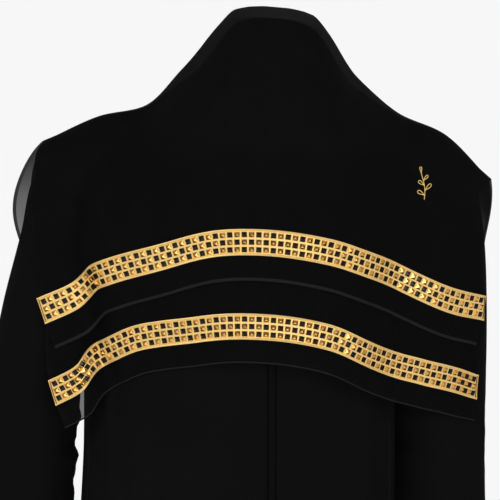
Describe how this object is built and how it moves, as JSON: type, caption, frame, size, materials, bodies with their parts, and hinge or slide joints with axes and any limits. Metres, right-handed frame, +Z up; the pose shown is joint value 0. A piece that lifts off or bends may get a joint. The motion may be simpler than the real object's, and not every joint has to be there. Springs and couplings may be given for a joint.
{
  "type": "robe with draped scarf",
  "caption": "Long loose black robe with wide sleeves and a snap front, worn under a doubled sheer black scarf whose two ends hang at the back, each crossed by a band of small pyramid studs.",
  "frame": {"origin": "on the line of the shoulder tips, above the centre-back seam, inside the wearer's chest", "axes": "+Z up, +Y to the wearer's front, +X to the wearer's right; the back of the garment faces -Y"},
  "size_m": [0.618, 0.354, 1.4115],
  "materials": {
    "robe_crepe": "matt black crepe with a faint soft sheen",
    "scarf_chiffon": "fine semi-sheer black weave",
    "seam_trim": "black turned and stitched cloth",
    "stud_gold": "polished gold-coloured metal",
    "stud_black": "glossy black enamel",
    "gold_thread": "satin-stitched metallic thread",
    "press_stud_metal": "black lacquered metal",
    "label_cloth": "plain woven tape, blank"
  },
  "bodies": {
    "robe": {"back_left_panel": "robe_crepe", "back_right_panel": "robe_crepe", "front_left_panel": "robe_crepe", "front_right_panel": "robe_crepe", "front_over_band": "robe_crepe", "front_under_band": "robe_crepe", "left_upper_sleeve": "robe_crepe", "right_upper_sleeve": "robe_crepe", "centre_back_seam_tape": "seam_trim", "collar_band": "seam_trim", "hanger_loop": "seam_trim", "blank_label": "label_cloth", "press_stud_socket_1": "press_stud_metal", "press_stud_ball_1": "press_stud_metal", "press_stud_socket_2": "press_stud_metal", "press_stud_ball_2": "press_stud_metal", "press_stud_socket_3": "press_stud_metal", "press_stud_ball_3": "press_stud_metal", "press_stud_socket_4": "press_stud_metal", "press_stud_ball_4": "press_stud_metal", "press_stud_socket_5": "press_stud_metal", "press_stud_ball_5": "press_stud_metal"},
    "left_forearm_sleeve": {"left_lower_sleeve": "robe_crepe", "left_cuff_band": "robe_crepe"},
    "right_forearm_sleeve": {"right_lower_sleeve": "robe_crepe", "right_cuff_band": "robe_crepe"},
    "scarf": {"scarf_upper_ply": "scarf_chiffon", "scarf_under_ply": "scarf_chiffon", "scarf_front_fold": "scarf_chiffon", "scarf_upper_hem": "seam_trim", "scarf_under_hem": "seam_trim", "upper_stud_band": "stud_gold", "under_stud_band": "stud_gold", "embroidered_motif": "gold_thread"}
  },
  "joints": [
    {"name": "left_elbow", "type": "hinge", "parent": "robe", "child": "left_forearm_sleeve", "pos_m": [-0.256, -0.052, -0.345], "axis": [1, 0, 0], "range_deg": [0, 60]},
    {"name": "right_elbow", "type": "hinge", "parent": "robe", "child": "right_forearm_sleeve", "pos_m": [0.186, -0.028, -0.345], "axis": [1, 0, 0], "range_deg": [0, 60]},
    {"name": "scarf_lift", "type": "slide", "parent": "robe", "child": "scarf", "axis": [0, 0, 1], "range_m": [0, 0.46]}
  ]
}
